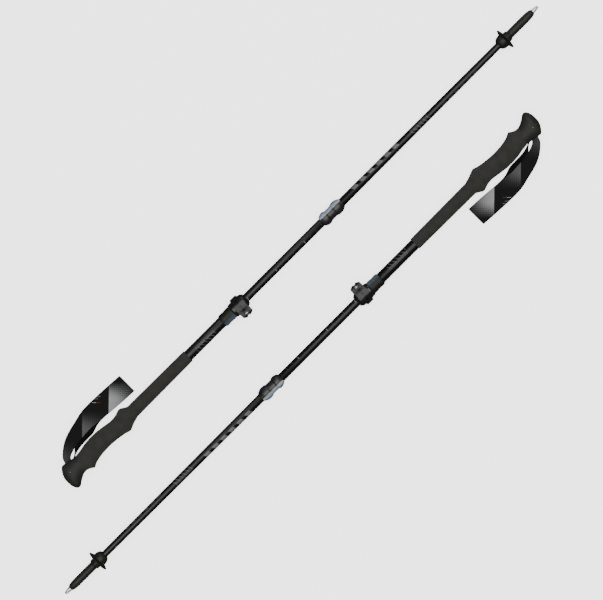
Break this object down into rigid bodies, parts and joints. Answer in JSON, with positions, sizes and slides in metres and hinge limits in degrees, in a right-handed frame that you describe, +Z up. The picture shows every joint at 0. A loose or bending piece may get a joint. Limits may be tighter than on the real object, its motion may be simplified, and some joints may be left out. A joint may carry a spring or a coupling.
{
  "type": "trekking pole pair",
  "caption": "Pair of folding trekking poles with foam grips, wrist straps, lever locks, a fold joint, small baskets and carbide tips.",
  "frame": {"origin": "centre of the pair's footprint, on the surface that the poles lie on", "axes": "+X along the poles, towards the right pole's grip; +Z up"},
  "size_m": [1.176, 0.245, 0.037],
  "materials": {
    "painted_tube": "gloss black paint on aluminium",
    "head_rubber": "matt moulded rubber",
    "grip_foam": "matt closed-cell foam",
    "moulded_plastic": "plain moulded",
    "bright_steel": "bright",
    "strap_webbing": "woven with a faded dot print",
    "lock_plastic": "gloss",
    "lever_plastic": "satin",
    "joint_plastic": "dark smoky gloss",
    "tension_cord": "coated cord",
    "tip_plastic": "satin moulded",
    "carbide": "sintered grey"
  },
  "bodies": {
    "right_upper": {"right_upper_tube": "painted_tube", "right_grip_head": "head_rubber", "right_grip_foam": "grip_foam", "right_grip_extension": "grip_foam", "right_grip_core": "moulded_plastic", "right_strap_pin": "bright_steel", "right_lock_body": "lock_plastic", "right_lock_liner": "moulded_plastic", "right_lever_barrel": "bright_steel"},
    "right_strap": {"right_wrist_strap": "strap_webbing"},
    "right_lever": {"right_lock_lever": "lever_plastic"},
    "right_screw": {"right_clamp_screw": "bright_steel"},
    "right_mid": {"right_mid_guide": "moulded_plastic", "right_mid_tube": "painted_tube", "right_joint_upper_collar": "joint_plastic", "right_joint_ring": "joint_plastic", "right_joint_plug": "bright_steel", "right_mid_cord": "tension_cord", "right_mid_cord_anchor": "moulded_plastic"},
    "right_lower": {"right_joint_lower_collar": "joint_plastic", "right_lower_tube": "painted_tube", "right_lower_cord": "tension_cord", "right_lower_cord_anchor": "moulded_plastic", "right_tip_holder": "tip_plastic", "right_tip_point": "bright_steel", "right_carbide_tip": "carbide"},
    "right_basket": {"right_basket": "tip_plastic", "right_basket_nut": "tip_plastic"},
    "left_upper": {"left_upper_tube": "painted_tube", "left_grip_head": "head_rubber", "left_grip_foam": "grip_foam", "left_grip_extension": "grip_foam", "left_grip_core": "moulded_plastic", "left_strap_pin": "bright_steel", "left_lock_body": "lock_plastic", "left_lock_liner": "moulded_plastic", "left_lever_barrel": "bright_steel"},
    "left_strap": {"left_wrist_strap": "strap_webbing"},
    "left_lever": {"left_lock_lever": "lever_plastic"},
    "left_screw": {"left_clamp_screw": "bright_steel"},
    "left_mid": {"left_mid_guide": "moulded_plastic", "left_mid_tube": "painted_tube", "left_joint_upper_collar": "joint_plastic", "left_joint_ring": "joint_plastic", "left_joint_plug": "bright_steel", "left_mid_cord": "tension_cord", "left_mid_cord_anchor": "moulded_plastic"},
    "left_lower": {"left_joint_lower_collar": "joint_plastic", "left_lower_tube": "painted_tube", "left_lower_cord": "tension_cord", "left_lower_cord_anchor": "moulded_plastic", "left_tip_holder": "tip_plastic", "left_tip_point": "bright_steel", "left_carbide_tip": "carbide"},
    "left_basket": {"left_basket": "tip_plastic", "left_basket_nut": "tip_plastic"}
  },
  "joints": [
    {"name": "right_strap_swing", "type": "hinge", "parent": "right_upper", "child": "right_strap", "pos_m": [0.4464, -0.06525, 0.0185], "axis": [0, 0, 1], "range_deg": [0, 50]},
    {"name": "right_lever_turn", "type": "hinge", "parent": "right_upper", "child": "right_lever", "pos_m": [0.07475, -0.04675, 0.0251], "axis": [-1, 0, 0], "range_deg": [0, 145]},
    {"name": "right_clamp_screw_turn", "type": "hinge", "parent": "right_upper", "child": "right_screw", "pos_m": [0.07475, -0.04675, 0.0185], "axis": [0, 0, 1], "continuous": true},
    {"name": "right_length_slide", "type": "slide", "parent": "right_upper", "child": "right_mid", "axis": [-1, 0, 0], "range_m": [-0.12, 0.1]},
    {"name": "right_fold", "type": "hinge", "parent": "right_mid", "child": "right_lower", "pos_m": [-0.13375, -0.07575, 0.0185], "axis": [0, 0, 1], "range_deg": [0, 172]},
    {"name": "right_basket_turn", "type": "hinge", "parent": "right_lower", "child": "right_basket", "pos_m": [-0.515, -0.06375, 0.0185], "axis": [1, 0, 0], "continuous": true},
    {"name": "left_strap_swing", "type": "hinge", "parent": "left_upper", "child": "left_strap", "pos_m": [-0.4464, 0.06525, 0.0185], "axis": [0, 0, 1], "range_deg": [0, 50]},
    {"name": "left_lever_turn", "type": "hinge", "parent": "left_upper", "child": "left_lever", "pos_m": [-0.07475, 0.04675, 0.0251], "axis": [1, 0, 0], "range_deg": [0, 145]},
    {"name": "left_clamp_screw_turn", "type": "hinge", "parent": "left_upper", "child": "left_screw", "pos_m": [-0.07475, 0.04675, 0.0185], "axis": [0, 0, 1], "continuous": true},
    {"name": "left_length_slide", "type": "slide", "parent": "left_upper", "child": "left_mid", "axis": [1, 0, 0], "range_m": [-0.12, 0.1]},
    {"name": "left_fold", "type": "hinge", "parent": "left_mid", "child": "left_lower", "pos_m": [0.13375, 0.07575, 0.0185], "axis": [0, 0, 1], "range_deg": [0, 172]},
    {"name": "left_basket_turn", "type": "hinge", "parent": "left_lower", "child": "left_basket", "pos_m": [0.515, 0.06375, 0.0185], "axis": [-1, 0, 0], "continuous": true},
    {"name": "left_pole_lift", "type": "slide", "parent": "right_upper", "child": "left_upper", "axis": [0, 0, 1], "range_m": [0, 0.3]}
  ]
}
